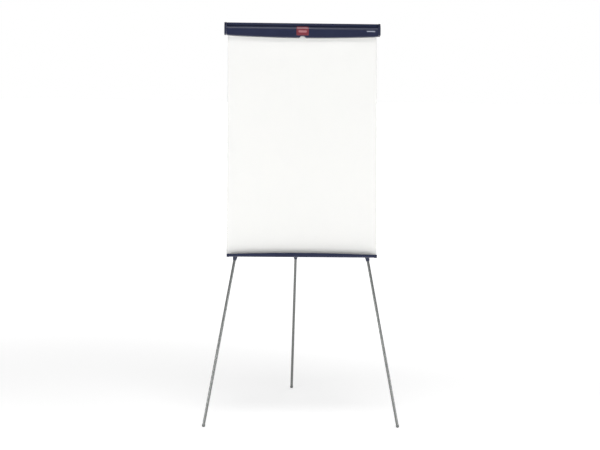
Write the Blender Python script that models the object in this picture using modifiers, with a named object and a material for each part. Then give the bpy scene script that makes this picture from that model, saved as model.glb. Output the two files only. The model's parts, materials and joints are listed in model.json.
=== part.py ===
"""Tripod flipchart easel: a leaning drywipe board, a sprung pad clamp, a pen tray and three telescopic legs.

The board is drawn in its own frame, an empty at the tray's lower edge that leans with the board: X to the right
seen from the front, Y back through the board, Z up along it, with the writing face at Y 0. Each leg is drawn in
a frame at its top pivot, with Z up along the leg.
"""
import math

import bmesh
import bpy
from mathutils import Matrix

NAME = "flipchart_easel"

# Driving dimensions, in metres and degrees.
LEAN = math.radians(10.4)           # the board's lean back from the vertical
TRAY_HEIGHT = 0.748                 # the board frame's height above the floor
FOOT_SPACING = 1.050                # front feet to rear foot, along Y
BOARD_HALF = 0.3375
BOARD_LOW = 0.0035
BOARD_TOP = 1.0550
BOARD_DEPTH = 0.0115
SHEET = 0.0005                      # the steel writing sheet
BACKING = 0.0004
TRIM = 0.0015
GAP = 0.0003                        # between pieces that touch

CLAMP_TOP = 1.0650
RAIL_HALF = 0.3424
CLAMP_HALF = 0.3537                 # over the end caps
HINGE_Y = -0.0120                   # the clamp jaw's hinge rod
HINGE_Z = 1.0400
SHOULDER = 0.0120                   # the jaw's rounded top, about the rod
JAW_HALF = 0.3420
JAW_WALL = 0.0018
JAW_END = 1.0065                    # the jaw's lower edge at its ends
JAW_SAG = 0.0085                    # how much lower the edge is at the middle
JAW_FRONT = -0.0225                 # the jaw's face above its lower edge
JAW_ROLL = 0.0030
NOTCH_HALF = 0.0140                 # the finger notch in the middle of the jaw's lower edge
NOTCH_RISE = 0.0070
NOTCH_ROUND = 0.0030
LUG_X = 0.3392                      # the outer lugs that the jaw turns on the rod with
INNER_LUG_X = 0.1000
LUG_HALF = 0.0010
GRIP = 0.0076                       # a grip strip's depth
BADGE_HALF = 0.0280
BADGE_LOW = 1.0072
BADGE = 0.0016
ROD_RADIUS = 0.0025
TRACK_Z = 1.0230                    # the track that the pad hooks slide on
HOOK_X = 0.2450
HOOK_HALF = 0.0070
SPRING_X = 0.3000                   # where a spring's first turn is

TRAY_HALF = 0.3358
TRAY_SHEET_HALF = 0.3245
TRAY_WALL = 0.0015
LIP_END = 0.0125
LIP_RISE = 0.0065                   # how much higher the lip is at the middle

PIVOT_Z = 0.930                     # all three legs hang at this height up the board
SPREAD = 0.298                      # a front leg's distance from the middle at the tray
SPLAY_SLOPE = 0.180
SPLAY = math.atan(SPLAY_SLOPE)
FRONT_X = SPREAD - SPLAY_SLOPE * PIVOT_Z
FRONT_Y = 0.024
REAR_Y = 0.036
FOOT_CENTRE = 0.0063                # a foot's ball above the floor
FOOT_RADIUS = 0.0075
PLATE_BACK = 0.0143                 # the head plate's outer face
PLATE = 0.0025
BRACKET_BACK = PLATE_BACK + GAP + PLATE

OUTER_RADIUS = 0.0080
OUTER_BORE = 0.0070
INNER_RADIUS = 0.0063
INNER_BORE = 0.0053
FRONT_NOSE = 0.956                  # from pivot to the lower end of the locking collar
REAR_NOSE = 1.070
TUBE_ABOVE_NOSE = 0.034
OVERLAP = 0.120                     # inner tube left inside the outer one, fully drawn out
BOLT_RADIUS = 0.0030
BORE_RADIUS = 0.0033
SCREW_RADIUS = 0.0020
BLIND_BACK = 0.0025                 # how deep into the core the screw holes go, from behind and from the front
BLIND_FRONT = 0.0090

GUIDE_LOW = 0.085
GUIDE_HIGH = 0.105
GUIDE_WALL = 0.0020
GUIDE_FOOT = 0.0200
GUIDE_SCREW = 0.0120                # a guide's screw from its inner face
REST_LOW = 0.110
REST_HIGH = 0.140

STEPS = 16                          # facets round a turned piece
HOLE_STEPS = 12
WELD = 1e-6
SMOOTH_BELOW = math.radians(35)

# Worked out from those.
SIN = math.sin(LEAN)
COS = math.cos(LEAN)
FOOT_Z = (FOOT_CENTRE - TRAY_HEIGHT + FRONT_Y * SIN) / COS
FRAME_Y = -FOOT_SPACING / 2 - FOOT_Z * SIN - FRONT_Y * COS
FRONT_LENGTH = (PIVOT_Z - FOOT_Z) / math.cos(SPLAY)
REAR_BACK = FOOT_SPACING / 2 - (FRAME_Y + PIVOT_Z * SIN + REAR_Y * COS)
REAR_DROP = TRAY_HEIGHT + PIVOT_Z * COS - REAR_Y * SIN - FOOT_CENTRE
REAR_LENGTH = math.hypot(REAR_BACK, REAR_DROP)
REAR_ANGLE = math.atan2(REAR_BACK, REAR_DROP) + LEAN

# Where a drawing's own X, Y, Z go when it lies across each axis, and when it is turned about it.
ACROSS = {
    "X": Matrix(((0, 0, 1, 0), (1, 0, 0, 0), (0, 1, 0, 0), (0, 0, 0, 1))),
    "Y": Matrix(((1, 0, 0, 0), (0, 0, -1, 0), (0, 1, 0, 0), (0, 0, 0, 1))),
    "Z": Matrix.Identity(4),
}
ABOUT = {
    "X": ACROSS["X"],
    "Y": Matrix(((0, 1, 0, 0), (0, 0, 1, 0), (1, 0, 0, 0), (0, 0, 0, 1))),
    "Z": Matrix.Identity(4),
}
AXIS = {"X": (1, 0, 0), "Y": (0, 1, 0), "Z": (0, 0, 1)}

for old in list(bpy.data.objects):
    bpy.data.objects.remove(old)
PARTS = bpy.data.collections.new(NAME)
TOOLS = bpy.data.collections.new("cutters")
bpy.context.scene.collection.children.link(PARTS)
bpy.context.scene.collection.children.link(TOOLS)


def paint(name, colour, roughness, metallic=0.0):
    """A Principled material."""
    material = bpy.data.materials.new(name)
    material.use_nodes = True
    shader = material.node_tree.nodes["Principled BSDF"]
    shader.inputs["Base Color"].default_value = (*colour, 1)
    shader.inputs["Roughness"].default_value = roughness
    shader.inputs["Metallic"].default_value = metallic
    return material


NAVY = paint("navy_plastic", (0.028, 0.032, 0.072), 0.42)
NAVY_METAL = paint("navy_lacquered_metal", (0.026, 0.030, 0.070), 0.36)
GREY_METAL = paint("grey_lacquered_steel", (0.24, 0.25, 0.26), 0.38, 0.6)
BRIGHT = paint("zinc_plated_steel", (0.62, 0.62, 0.60), 0.30, 1.0)
WHITE_SHEET = paint("white_enamel", (0.86, 0.86, 0.85), 0.18)
WHITE_TRIM = paint("white_plastic", (0.80, 0.80, 0.79), 0.40)
FIBRE = paint("fibreboard", (0.42, 0.30, 0.18), 0.90)
LAMINATE = paint("grey_laminate", (0.58, 0.59, 0.60), 0.50)
GREY_PLASTIC = paint("grey_plastic", (0.13, 0.135, 0.14), 0.55)
RUBBER = paint("grey_rubber", (0.16, 0.165, 0.17), 0.75)
RED = paint("red_plastic", (0.30, 0.030, 0.045), 0.35)


def empty(name, parent, place, turn=0.0, axis="X"):
    """A named frame for pieces to be parented to."""
    frame = bpy.data.objects.new(name, None)
    PARTS.objects.link(frame)
    frame.parent = parent
    frame.location = place
    frame.rotation_euler["XYZ".index(axis)] = turn
    return frame


def baked(data, modify=None):
    """A curve or mesh made into one welded mesh, with the modifier that the given function adds."""
    temporary = bpy.data.objects.new("temporary", data)
    TOOLS.objects.link(temporary)
    if modify:
        modify(temporary)
    graph = bpy.context.evaluated_depsgraph_get()
    mesh = bpy.data.meshes.new_from_object(temporary.evaluated_get(graph))
    bpy.data.objects.remove(temporary)
    shape = bmesh.new()
    shape.from_mesh(mesh)
    bmesh.ops.remove_doubles(shape, verts=shape.verts, dist=WELD)
    shape.to_mesh(mesh)
    shape.free()
    return mesh


def arc(centre, radius, start, end, count):
    """Points round a centre, from one angle to another in degrees."""
    turns = [math.radians(start + (end - start) * i / (count - 1)) for i in range(count)]
    return [(centre[0] + radius * math.cos(t), centre[1] + radius * math.sin(t)) for t in turns]


def circle(centre, radius, count=HOLE_STEPS):
    """A closed ring of points."""
    return arc(centre, radius, 0, 360 - 360 / count, count)


def rounded(left, right, low, high, radius, count=5):
    """A rectangle with round corners."""
    points = arc((right - radius, high - radius), radius, 90, 0, count)
    points += arc((right - radius, low + radius), radius, 0, -90, count)
    points += arc((left + radius, low + radius), radius, -90, -180, count)
    return points + arc((left + radius, high - radius), radius, 180, 90, count)


def extruded(outline, axis, low, high, holes=()):
    """A flat outline and its holes, drawn across an axis and carried along it from low to high."""
    curve = bpy.data.curves.new("outline", "CURVE")
    curve.dimensions = "2D"
    curve.fill_mode = "BOTH"
    curve.extrude = (high - low) / 2
    for loop in (outline, *holes):
        spline = curve.splines.new("POLY")
        spline.points.add(len(loop) - 1)
        for point, (across, up) in zip(spline.points, loop):
            point.co = (across, up, 0, 1)
        spline.use_cyclic_u = True
    mesh = baked(curve)
    mesh.transform(ACROSS[axis])
    mesh.transform(Matrix.Translation([part * (low + high) / 2 for part in AXIS[axis]]))
    return mesh


def turned(profile, axis="Z", place=(0, 0, 0), closed=False, steps=STEPS):
    """A profile of (radius, height) points, down its outer side, turned about an axis."""
    ring = list(range(len(profile)))
    edges = list(zip(ring, ring[1:]))
    if closed:
        edges.append((ring[-1], 0))
    mesh = bpy.data.meshes.new("profile")
    mesh.from_pydata([(radius, 0, height) for radius, height in profile], edges, [])

    def spin(thing):
        screw = thing.modifiers.new("turn", "SCREW")
        screw.steps = steps
        screw.render_steps = steps
        screw.use_merge_vertices = True
        screw.merge_threshold = WELD

    mesh = baked(mesh, spin)
    mesh.transform(ABOUT[axis])
    mesh.transform(Matrix.Translation(place))
    mesh.shade_smooth()
    mesh.set_sharp_from_angle(angle=SMOOTH_BELOW)
    return mesh


def rod(radius, low, high, axis, place=(0, 0, 0), steps=STEPS):
    """A plain round bar along an axis."""
    return turned([(0, high), (radius, high), (radius, low), (0, low)], axis, place, steps=steps)


def pipe(radius, bore, low, high):
    """A tube up the Z axis, open at both ends."""
    return turned([(radius, high), (radius, low), (bore, low), (bore, high)], closed=True)


def box(x_low, x_high, y_low, y_high, z_low, z_high):
    """A block between its limits."""
    shape = bmesh.new()
    bmesh.ops.create_cube(shape, size=1)
    size = (x_high - x_low, y_high - y_low, z_high - z_low)
    bmesh.ops.scale(shape, vec=size, verts=shape.verts)
    middle = ((x_low + x_high) / 2, (y_low + y_high) / 2, (z_low + z_high) / 2)
    bmesh.ops.translate(shape, vec=middle, verts=shape.verts)
    mesh = bpy.data.meshes.new("box")
    shape.to_mesh(mesh)
    shape.free()
    return mesh


def lofted_sheet(section, low, high, thickness, columns=20):
    """An open surface through the sections along X, with a wall on the side away from its normals.

    section(x) gives the (y, z) points across the sheet at x; they bend along the width, so no outline
    can be extruded to make it.
    """
    shape = bmesh.new()
    stations = [low + (high - low) * i / columns for i in range(columns + 1)]
    rows = [[shape.verts.new((x, y, z)) for y, z in section(x)] for x in stations]
    for row, following in zip(rows, rows[1:]):
        for i in range(len(row) - 1):
            shape.faces.new((row[i], row[i + 1], following[i + 1], following[i]))
    mesh = bpy.data.meshes.new("sheet")
    shape.to_mesh(mesh)
    shape.free()

    def thicken(thing):
        solidify = thing.modifiers.new("wall", "SOLIDIFY")
        solidify.thickness = thickness
        solidify.offset = -1
        solidify.use_even_offset = True

    mesh = baked(mesh, thicken)
    mesh.shade_smooth()
    mesh.set_sharp_from_angle(angle=SMOOTH_BELOW)
    return mesh


def piece(name, mesh, material, parent, bevel=0.0):
    """One sub-part, in the frame that it is drawn in."""
    mesh.name = name
    mesh.materials.clear()
    mesh.materials.append(material)
    part = bpy.data.objects.new(name, mesh)
    PARTS.objects.link(part)
    part.parent = parent
    if bevel:
        edge = part.modifiers.new("edges", "BEVEL")
        edge.width = bevel
        edge.segments = 2
        edge.limit_method = "ANGLE"
    return part


def combine(part, operation, *meshes, parent=None):
    """Cuts the meshes from a part, or joins them to it. They lie in its own frame unless one is given."""
    for mesh in meshes:
        tool = bpy.data.objects.new("tool_of_" + part.name, mesh)
        TOOLS.objects.link(tool)
        tool.parent = parent or part.parent
        tool.hide_render = True
        tool.display_type = "WIRE"
        boolean = part.modifiers.new(operation.lower(), "BOOLEAN")
        boolean.operation = operation
        boolean.object = tool
    return part


def drill(part, places, radius, low, high, axis="Y"):
    """Round holes through a part, at points across the axis."""
    for across, up in places:
        place = {"X": (0, across, up), "Y": (across, 0, up)}[axis]
        combine(part, "DIFFERENCE", rod(radius, low, high, axis, place, HOLE_STEPS))


def screw_into_back(name, x, z, face, parent):
    """A pan-head screw from behind: its head on the face at that Y, its shank into the board."""
    head = face + GAP
    profile = [(0, head + 0.0022), (0.0026, head + 0.0020), (0.0040, head + 0.0006), (0.0040, head)]
    profile += [(SCREW_RADIUS, head), (SCREW_RADIUS, 0.0045), (0, 0.0030)]
    piece(name, turned(profile, "Y", (x, 0, z), steps=12), BRIGHT, parent)


def jaw_edge(x):
    """The height of the jaw's lower edge."""
    return JAW_END - JAW_SAG * (1 - (x / JAW_HALF) ** 2)


def jaw_section(x):
    """Across the jaw, from its rounded top down its face and in under its lower edge."""
    edge = jaw_edge(x)
    points = arc((HINGE_Y, HINGE_Z), SHOULDER, 85, 180, 8)
    points += arc((JAW_FRONT + JAW_ROLL, edge + JAW_ROLL), JAW_ROLL, 180, 270, 5)
    return points + [(JAW_FRONT + 0.014, edge)]


def badge_section(x):
    """The badge's back, a hair off the jaw's shoulder and face."""
    points = arc((HINGE_Y, HINGE_Z), SHOULDER + GAP, 142, 180, 5)
    slope = (JAW_FRONT - (HINGE_Y - SHOULDER)) / (HINGE_Z - jaw_edge(0) - JAW_ROLL)
    return points + [(points[-1][0] + slope * (HINGE_Z - BADGE_LOW), BADGE_LOW)]


def lip_height(x):
    """The height of the pen tray's front lip."""
    return LIP_END + LIP_RISE * (1 - (x / TRAY_SHEET_HALF) ** 2)


def tray_section(x):
    """Across the tray, from its flange on the board down, forward under the floor and up the lip."""
    points = [(-GAP, 0.0145), (-GAP, 0.0045), (-0.0018, 0.0029)]
    points += arc((-0.0340, 0.0060), 0.0060, -90, -180, 7)
    return points + [(-0.0410, lip_height(x))]


def build_board(board, screw_places):
    """The writing sheet, its core and backing, and the edge trims."""
    half = BOARD_HALF - TRIM - GAP
    low = BOARD_LOW + TRIM + GAP
    core_front = SHEET + GAP
    core_back = BOARD_DEPTH - BACKING - GAP
    sheet = piece("writing_sheet", box(-half, half, 0, SHEET, low, BOARD_TOP), WHITE_SHEET, board)
    core = piece("board_core", box(-half, half, core_front, core_back, low, BOARD_TOP), FIBRE, board)
    back = box(-half, half, core_back + GAP, BOARD_DEPTH, low, BOARD_TOP)
    backing = piece("backing_sheet", back, LAMINATE, board)
    drill(backing, screw_places, SCREW_RADIUS + GAP, core_back, BOARD_DEPTH + GAP)
    drill(core, screw_places, SCREW_RADIUS + GAP, BLIND_BACK, core_back + GAP)
    drill(sheet, TRAY_SCREWS, SCREW_RADIUS + GAP, -GAP, SHEET + GAP)
    drill(core, TRAY_SCREWS, SCREW_RADIUS + GAP, core_front - GAP, BLIND_FRONT)
    for side, sign in SIDES:
        edge = sorted((sign * (BOARD_HALF - TRIM), sign * BOARD_HALF))
        trim = box(*edge, 0, BOARD_DEPTH, BOARD_LOW, BOARD_TOP)
        piece("side_trim_" + side, trim, WHITE_TRIM, board, 0.0004)
    trim = box(-half, half, 0, BOARD_DEPTH, BOARD_LOW, BOARD_LOW + TRIM)
    piece("bottom_trim", trim, WHITE_TRIM, board, 0.0004)


def build_rail(board):
    """The fixed rail over the board's top edge, with the hooks' track, and its end caps and hinge rod."""
    nose = 1.0527
    front = -0.0033
    back = PLATE_BACK
    outline = [(-GAP, 1.0135), (front, 1.0135)]
    outline += [(front, TRACK_Z - 0.0015), (front - 0.0020, TRACK_Z - 0.0015)]
    outline += [(front - 0.0020, TRACK_Z - 0.0045), (front - 0.0040, TRACK_Z - 0.0045)]
    outline += [(front - 0.0040, TRACK_Z + 0.0045), (front - 0.0020, TRACK_Z + 0.0045)]
    outline += [(front - 0.0020, TRACK_Z + 0.0015), (front, TRACK_Z + 0.0015)]
    outline += [(front, nose), (-0.0130, nose)]
    outline += arc((-0.0105, CLAMP_TOP - 0.0025), 0.0025, 180, 90, 5)
    outline += arc((back - 0.0025, CLAMP_TOP - 0.0025), 0.0025, 90, 0, 5)
    outline += [(back, 1.0300), (BOARD_DEPTH + GAP, 1.0300)]
    outline += [(BOARD_DEPTH + GAP, BOARD_TOP + GAP), (-GAP, BOARD_TOP + GAP)]
    hollow = [(-0.0112, 1.0573), (0.0125, 1.0573), (0.0125, 1.0633), (-0.0112, 1.0633)]
    rail = extruded(outline, "X", -RAIL_HALF, RAIL_HALF, [hollow])
    piece("clamp_rail", rail, NAVY_METAL, board)

    cap = arc((-0.0105, 1.0628), 0.0030, 150, 90, 4)
    cap += arc((0.0120, 1.0628), 0.0030, 90, 0, 4)
    cap += arc((0.0120, 1.0140), 0.0030, 0, -90, 4)
    cap += arc((-0.0215, 1.0140), 0.0030, -90, -180, 4)
    cap += arc((-0.0125, 1.0420), 0.0125, 180, 130, 6)
    for side, sign in SIDES:
        limits = sorted((sign * (RAIL_HALF + GAP), sign * CLAMP_HALF))
        part = piece("rail_end_cap_" + side, extruded(cap, "X", *limits), NAVY, board, 0.0012)
        bore = sorted((sign * (RAIL_HALF - GAP), sign * (RAIL_HALF + 0.0065)))
        drill(part, [(HINGE_Y, HINGE_Z)], ROD_RADIUS + GAP, *bore, axis="X")
    end = RAIL_HALF + 0.0060
    piece("hinge_rod", rod(ROD_RADIUS, -end, end, "X", (0, HINGE_Y, HINGE_Z), HOLE_STEPS), BRIGHT, board)


def build_spring(side, sign, board):
    """A torsion spring round the rod, one leg on the rail and one on the jaw."""
    turns = 4
    per_turn = 10
    radius = 0.0042
    pitch = 0.0017
    points = [(SPRING_X, HINGE_Y - 0.0070, HINGE_Z - 0.0120)]
    for i in range(turns * per_turn + per_turn // 2 + 1):
        turn = math.pi - 2 * math.pi * i / per_turn
        x = SPRING_X + pitch * i / per_turn
        points.append((x, HINGE_Y + radius * math.cos(turn), HINGE_Z - radius * math.sin(turn)))
    points.append((points[-1][0], HINGE_Y + 0.0068, HINGE_Z - 0.0095))
    curve = bpy.data.curves.new("spring", "CURVE")
    curve.dimensions = "3D"
    curve.bevel_depth = 0.0006
    curve.bevel_resolution = 1
    curve.use_fill_caps = True
    curve.render_resolution_u = 0
    spline = curve.splines.new("POLY")
    spline.points.add(len(points) - 1)
    for point, (x, y, z) in zip(spline.points, points):
        point.co = (x, y, z, 1)
    mesh = baked(curve)
    if sign < 0:
        mesh.transform(Matrix.Diagonal((-1, 1, 1, 1)))
        mesh.flip_normals()
    mesh.shade_smooth()
    piece("jaw_spring_" + side, mesh, BRIGHT, board)


def build_jaw(board):
    """The sprung jaw with its rod lugs and finger notch, its two grip strips and the badge."""
    jaw = empty("jaw_frame", board, (0, HINGE_Y, HINGE_Z))
    home = Matrix.Translation((0, -HINGE_Y, -HINGE_Z))
    shell = lofted_sheet(jaw_section, -JAW_HALF, JAW_HALF, JAW_WALL)
    lug = arc((HINGE_Y, HINGE_Z), SHOULDER - JAW_WALL / 2, 90, 180, 8)
    lug += [(-0.0218, 1.0115), (-0.0120, 1.0115), (-0.0066, 1.0360)]
    lug += arc((HINGE_Y, HINGE_Z), 0.0055, 0, 80, 5)
    hole = circle((HINGE_Y, HINGE_Z), ROD_RADIUS + GAP)
    part = piece("clamp_jaw", shell, NAVY_METAL, jaw)
    shell.transform(home)
    for x in (-LUG_X, -INNER_LUG_X, INNER_LUG_X, LUG_X):
        plate = extruded(lug, "X", x - LUG_HALF, x + LUG_HALF, [hole])
        plate.transform(home)
        combine(part, "UNION", plate)
    edge = jaw_edge(0)
    middle = NOTCH_HALF - NOTCH_ROUND
    high = edge + NOTCH_RISE - NOTCH_ROUND
    notch = arc((middle, high), NOTCH_ROUND, 0, 90, 5) + arc((-middle, high), NOTCH_ROUND, 90, 180, 5)
    notch = extruded(notch + [(-NOTCH_HALF, edge - 0.002), (NOTCH_HALF, edge - 0.002)], "Y", -0.030, 0.0)
    notch.transform(home)
    combine(part, "DIFFERENCE", notch)

    def strip_section(x):
        return [(JAW_FRONT + 0.0143, jaw_edge(x) + 0.0050), (JAW_FRONT + 0.0143, jaw_edge(x))]

    for side, sign in SIDES:
        limits = sorted((sign * (NOTCH_HALF + 0.001), sign * (JAW_HALF - 0.012)))
        strip = lofted_sheet(strip_section, *limits, GRIP, 10)
        strip.transform(home)
        piece("jaw_grip_strip_" + side, strip, RUBBER, jaw)
    badge = lofted_sheet(badge_section, -BADGE_HALF, BADGE_HALF, -BADGE, 1)
    badge.transform(home)
    piece("badge_plate", badge, RED, jaw, 0.0005)


def build_hook(side, sign, board):
    """A pad hook: a block that wraps the track's head, with a peg for the pad's hole."""
    head_back = -0.0053
    head_front = -0.0073
    block = [(head_back + 0.0015, TRACK_Z - 0.0070), (head_front - 0.0032, TRACK_Z - 0.0070)]
    block += [(head_front - 0.0032, TRACK_Z + 0.0070), (head_back + 0.0015, TRACK_Z + 0.0070)]
    block += [(head_back + 0.0015, TRACK_Z + 0.0018), (head_back + GAP, TRACK_Z + 0.0018)]
    block += [(head_back + GAP, TRACK_Z + 0.0048), (head_front - GAP, TRACK_Z + 0.0048)]
    block += [(head_front - GAP, TRACK_Z - 0.0048), (head_back + GAP, TRACK_Z - 0.0048)]
    block += [(head_back + GAP, TRACK_Z - 0.0018), (head_back + 0.0015, TRACK_Z - 0.0018)]
    middle = sign * HOOK_X
    shape = extruded(block, "X", middle - HOOK_HALF, middle + HOOK_HALF)
    hook = piece("pad_hook_" + side, shape, NAVY, board)
    peg = [(0, -0.0100), (0.0030, -0.0100), (0.0030, -0.0168), (0.0038, -0.0174)]
    peg += [(0.0038, -0.0186), (0.0030, -0.0192), (0, -0.0192)]
    combine(hook, "UNION", turned(peg, "Y", (middle, 0, TRACK_Z), steps=12))


def build_tray(board):
    """The pen tray, its end caps and its screws."""
    sheet = lofted_sheet(tray_section, -TRAY_SHEET_HALF, TRAY_SHEET_HALF, -TRAY_WALL)
    tray = piece("pen_tray", sheet, NAVY_METAL, board)
    drill(tray, TRAY_SCREWS, SCREW_RADIUS + GAP, -0.004, 0.001)
    cap = [(-GAP, 0.0150), (-GAP, 0.0024), (-0.0018, 0.0008)]
    cap += arc((-0.0345, 0.0052), 0.0065, -90, -180, 6)
    cap += arc((-0.0405, 0.0122), 0.0012, 180, 90, 4)
    cap += [(-0.0150, 0.0134)]
    for side, sign in SIDES:
        limits = sorted((sign * (TRAY_SHEET_HALF + GAP), sign * TRAY_HALF))
        piece("tray_end_cap_" + side, extruded(cap, "X", *limits), NAVY, board, 0.0008)
    for (x, z), (side, _) in zip(TRAY_SCREWS, SIDES):
        head = -GAP - TRAY_WALL - GAP
        profile = [(0, 0.0080), (SCREW_RADIUS, 0.0065), (SCREW_RADIUS, head), (0.0034, head)]
        profile += [(0.0034, head - 0.0006), (0.0022, head - 0.0018), (0, head - 0.0020)]
        piece("tray_screw_" + side, turned(profile, "Y", (x, 0, z), steps=12), BRIGHT, board)


def build_head(board):
    """The plate that the legs hang from, the rear leg's bracket and pin, the front legs' bolts, the screws."""
    plate = rounded(-0.160, 0.160, 0.890, 0.970, 0.012)
    pivots = [(sign * FRONT_X, PIVOT_Z) for _, sign in SIDES]
    holes = [circle(place, BORE_RADIUS) for place in pivots]
    holes += [circle(place, SCREW_RADIUS + GAP) for place in HEAD_SCREWS]
    mesh = extruded(plate, "Y", PLATE_BACK - PLATE, PLATE_BACK, holes)
    piece("head_plate", mesh, GREY_METAL, board)

    base = rounded(-0.034, 0.034, 0.906, 0.962, 0.006)
    holes = [circle(place, SCREW_RADIUS + GAP) for place in HEAD_SCREWS[:2]]
    mesh = extruded(base, "Y", PLATE_BACK + GAP, BRACKET_BACK, holes)
    bracket = piece("rear_hinge_bracket", mesh, GREY_METAL, board)
    ear = arc((REAR_Y, PIVOT_Z), 0.0095, 70, -70, 9)
    ear += [(BRACKET_BACK - 0.0010, PIVOT_Z - 0.018), (BRACKET_BACK - 0.0010, PIVOT_Z + 0.018)]
    bore = circle((REAR_Y, PIVOT_Z), BORE_RADIUS)
    for low, high in ((-0.0115, -0.0090), (0.0090, 0.0115)):
        combine(bracket, "UNION", extruded(ear, "X", low, high, [bore]))
    end = 0.0118
    pin = [(0, end + 0.0022), (0.0048, end + 0.0016), (0.0048, end), (BOLT_RADIUS, end)]
    pin += [(BOLT_RADIUS, -end), (0.0040, -end), (0.0040, -end - 0.0012), (0, -end - 0.0018)]
    piece("rear_hinge_pin", turned(pin, "X", (0, REAR_Y, PIVOT_Z)), BRIGHT, board)

    head = FRONT_Y + 0.0093
    bolt = [(0, head + 0.0036), (0.0048, head + 0.0032), (0.0064, head + 0.0014), (0.0064, head)]
    bolt += [(BOLT_RADIUS, head), (BOLT_RADIUS, BOARD_DEPTH + 2 * GAP), (0, BOARD_DEPTH + 2 * GAP)]
    for (side, _), (x, z) in zip(SIDES, pivots):
        piece("pivot_bolt_" + side, turned(bolt, "Y", (x, 0, z)), BRIGHT, board)
    for i, (x, z) in enumerate(HEAD_SCREWS):
        face = BRACKET_BACK if i < 2 else PLATE_BACK
        screw_into_back(f"head_screw_{i + 1}", x, z, face, board)


def guide_limits():
    """The inner faces of a leg guide, where the leg stands when it is folded and when it is splayed."""
    folded = FRONT_X - OUTER_RADIUS - GAP
    splayed = SPREAD - SPLAY_SLOPE * GUIDE_LOW + OUTER_RADIUS / math.cos(SPLAY) + GAP
    return folded, splayed


def build_guide(side, sign, board):
    """A strap behind the board that a front leg swings in, with a stop at each end."""
    folded, splayed = guide_limits()
    near = BOARD_DEPTH + GAP
    inside = FRONT_Y + OUTER_RADIUS + 0.0005
    outline = [(folded - GUIDE_WALL - GUIDE_FOOT, near), (folded, near), (folded, inside)]
    outline += [(splayed, inside), (splayed, near), (splayed + GUIDE_WALL + GUIDE_FOOT, near)]
    outline += [(splayed + GUIDE_WALL + GUIDE_FOOT, near + GUIDE_WALL)]
    outline += [(splayed + GUIDE_WALL, near + GUIDE_WALL), (splayed + GUIDE_WALL, inside + GUIDE_WALL)]
    outline += [(folded - GUIDE_WALL, inside + GUIDE_WALL), (folded - GUIDE_WALL, near + GUIDE_WALL)]
    outline += [(folded - GUIDE_WALL - GUIDE_FOOT, near + GUIDE_WALL)]
    outline = [(sign * x, y) for x, y in outline]
    guide = piece("leg_guide_" + side, extruded(outline, "Z", GUIDE_LOW, GUIDE_HIGH), GREY_METAL, board)
    places = [(sign * x, z) for x, z in GUIDE_SCREWS]
    drill(guide, places, SCREW_RADIUS + GAP, near - GAP, near + GUIDE_WALL + GAP)
    for (x, z), end in zip(places, ("inner", "outer")):
        screw_into_back(f"guide_screw_{side}_{end}", x, z, near + GUIDE_WALL, board)


def build_rest(board):
    """A cradle that the folded rear leg lies in."""
    bore = OUTER_RADIUS + GAP
    wall = 0.0115
    top = REAR_Y + 0.004
    outline = [(-wall, BOARD_DEPTH + GAP), (wall, BOARD_DEPTH + GAP), (wall, top), (bore, top)]
    outline += arc((0, REAR_Y), bore, 0, -180, 11) + [(-bore, top), (-wall, top)]
    piece("rear_leg_rest", extruded(outline, "Z", REST_LOW, REST_HIGH), NAVY, board)


def hinge_block(axis):
    """The moulded top of a leg: an eye for its pivot, a shoulder and a spigot that fills the tube's end."""
    depth = 0.0088 if axis == "Y" else 0.0087
    return rod(0.0125, -depth, depth, axis, steps=20), turned(
        [(0, 0), (OUTER_RADIUS, 0), (OUTER_RADIUS, -0.0157), (OUTER_BORE - GAP, -0.0157)]
        + [(OUTER_BORE - GAP, -0.054), (0.0055, -0.056), (0, -0.056)])


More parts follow.
